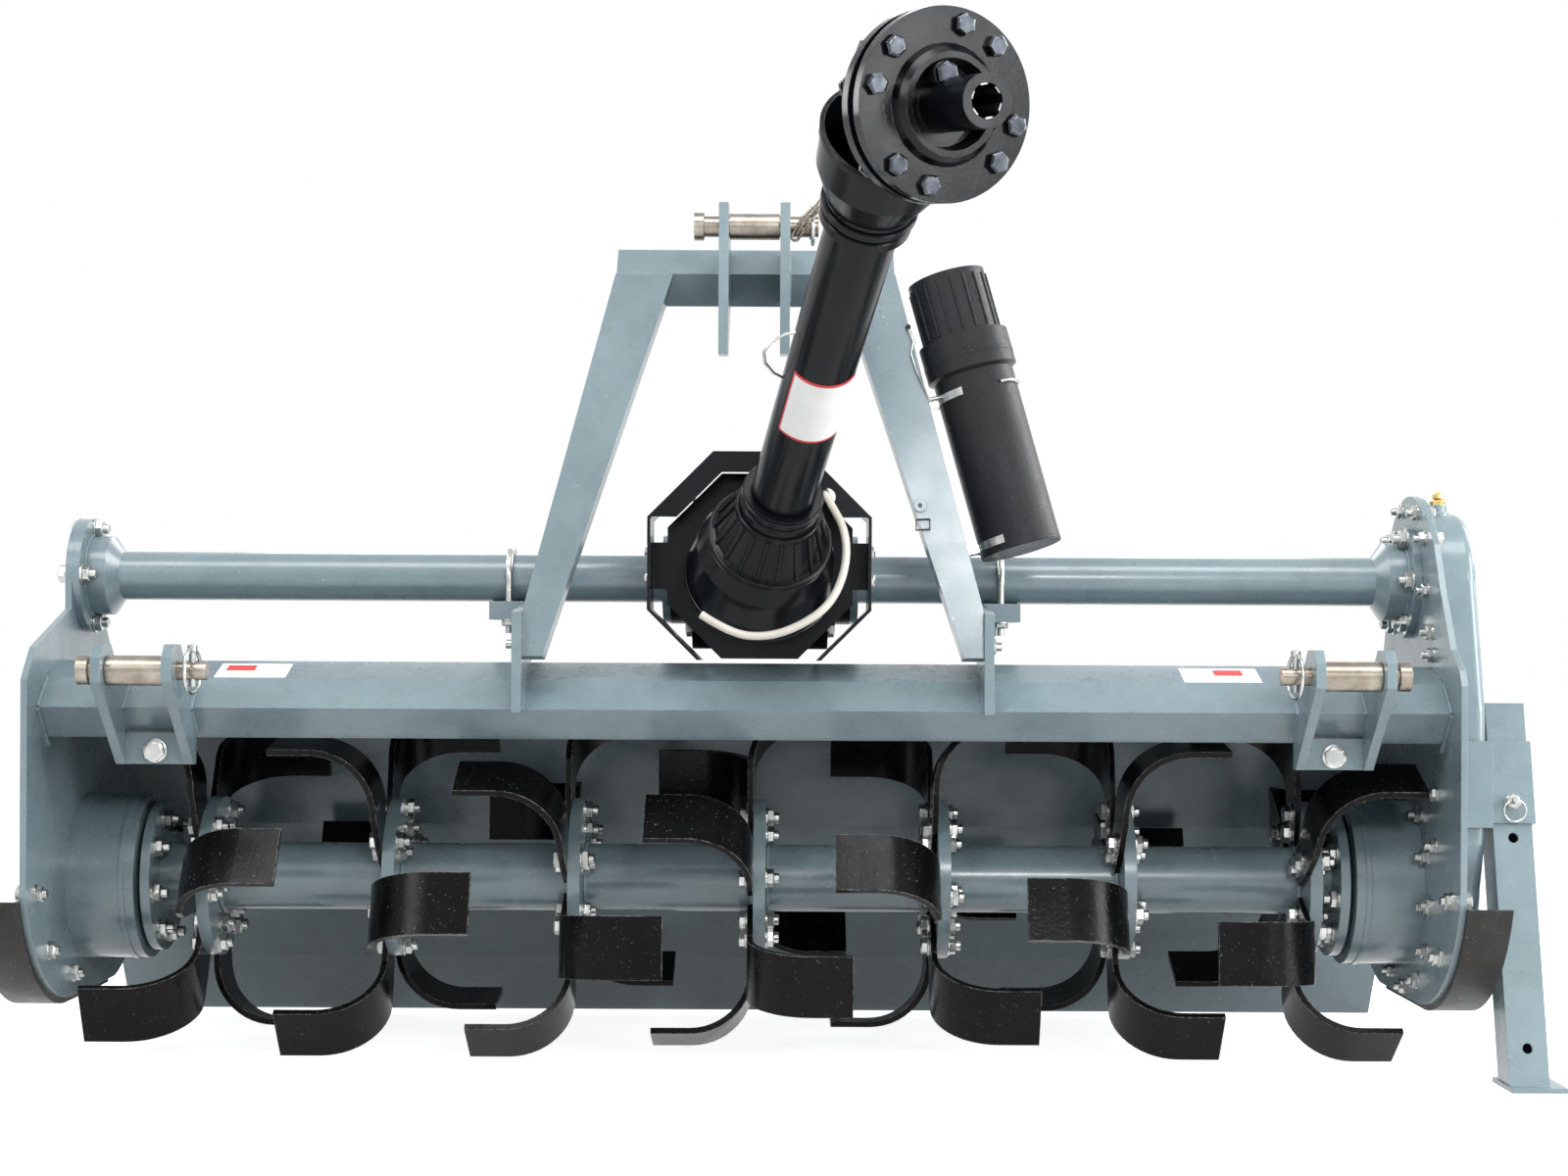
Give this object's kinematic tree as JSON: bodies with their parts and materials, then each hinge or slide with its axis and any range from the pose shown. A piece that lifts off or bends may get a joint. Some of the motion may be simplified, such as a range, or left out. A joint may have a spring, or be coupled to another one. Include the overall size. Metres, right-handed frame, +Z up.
{
  "type": "rotary tiller",
  "caption": "Heavy rotary tiller for a three-point hitch, with a tined rotor under a hood, side gear case, tailboard, guarded drive shaft, parking stand and manual canister.",
  "frame": {"origin": "on the ground below the middle of the whole machine's box", "axes": "+X to the machine's right-hand end (the gear case side) as seen from the tractor, +Y to the rear, +Z up"},
  "size_m": [1.961, 1.435, 1.1552],
  "materials": {
    "blue_paint": "satin blue-grey paint",
    "black_paint": "satin black paint",
    "tine_steel": "thin black paint, worn at the edges",
    "zinc": "zinc plated",
    "bare_steel": "bare machined steel",
    "worn_skid": "paint worn to brown steel",
    "black_plastic": "moulded, matt",
    "cream_hose": "smooth"
  },
  "bodies": {
    "frame": {"main_beam": "blue_paint", "hood_shell": "blue_paint", "side_plate_left": "blue_paint", "side_plate_right": "blue_paint", "gearcase_flange": "blue_paint", "gearcase": "blue_paint", "gearbox": "black_paint", "drive_tube_left": "blue_paint", "drive_tube_right": "blue_paint", "pto_guard": "black_paint", "mast_top_tube": "blue_paint", "mast_base_left": "blue_paint", "mast_base_right": "blue_paint", "mast_leg_left": "blue_paint", "mast_leg_right": "blue_paint", "top_link_clevis": "blue_paint", "top_link_pin": "zinc", "top_link_bushing": "zinc", "hitch_bracket_left": "blue_paint", "hitch_pin_left": "zinc", "hitch_bushing_left": "zinc", "hitch_bracket_right": "blue_paint", "hitch_pin_right": "zinc", "hitch_bushing_right": "zinc", "skid_left": "worn_skid", "skid_right": "worn_skid", "bearing_hub_left": "blue_paint", "bearing_hub_right": "blue_paint", "tailboard_hinge": "blue_paint", "stand_sleeve": "blue_paint", "input_yoke": "black_paint", "canister_base": "black_plastic", "manual_canister": "black_plastic", "canister_clamps": "zinc", "breather_hose": "cream_hose", "hose_fitting": "zinc"},
    "rotor": {"rotor_shaft": "blue_paint", "tines_right_hand": "tine_steel", "tines_left_hand": "tine_steel"},
    "tailboard_body": {"tailboard": "blue_paint"},
    "stand": {"stand_leg": "blue_paint"},
    "rear_spider": {"rear_cross": "bare_steel"},
    "rear_half": {"rear_shaft": "bare_steel", "rear_guard": "black_plastic"},
    "front_half": {"front_shaft": "bare_steel", "front_guard": "black_plastic"},
    "front_spider": {"front_cross": "bare_steel"},
    "clutch": {"slip_clutch": "black_paint"},
    "cap": {"canister_cap": "black_plastic"}
  },
  "joints": [
    {"name": "rotor_spin", "type": "hinge", "parent": "frame", "child": "rotor", "pos_m": [-0.0405, 0.31237, 0.24], "axis": [1, 0, 0], "continuous": true},
    {"name": "tailboard_lift", "type": "hinge", "parent": "frame", "child": "tailboard_body", "pos_m": [-0.0405, 0.59237, 0.326], "axis": [1, 0, 0], "range_deg": [0, 60]},
    {"name": "stand_slide", "type": "slide", "parent": "frame", "child": "stand", "axis": [0, 0.2419, 0.9703], "range_m": [0, 0.26]},
    {"name": "rear_joint_turn", "type": "hinge", "parent": "frame", "child": "rear_spider", "pos_m": [-0.0235, 0.11137, 0.638], "axis": [0, 0, 1], "range_deg": [-8, 8]},
    {"name": "rear_joint_tilt", "type": "hinge", "parent": "rear_spider", "child": "rear_half", "pos_m": [-0.0235, 0.11137, 0.638], "axis": [0.9781, 0.2079, 0], "range_deg": [-5, 25]},
    {"name": "shaft_telescope", "type": "slide", "parent": "rear_half", "child": "front_half", "axis": [0.1744, -0.8203, 0.5446], "range_m": [0, 0.15]},
    {"name": "front_joint_droop", "type": "hinge", "parent": "front_half", "child": "front_spider", "pos_m": [0.116, -0.5449, 1.07371], "axis": [0.8875, 0.3705, 0.274], "range_deg": [-40, 3]},
    {"name": "front_joint_turn", "type": "hinge", "parent": "front_spider", "child": "clutch", "pos_m": [0.116, -0.5449, 1.07371], "axis": [-0.1906, -0.2461, 0.9503], "range_deg": [-10, 10]},
    {"name": "canister_cap_lift", "type": "slide", "parent": "frame", "child": "cap", "axis": [-0.2621, 0.106, 0.9592], "range_m": [0, 0.12]}
  ]
}
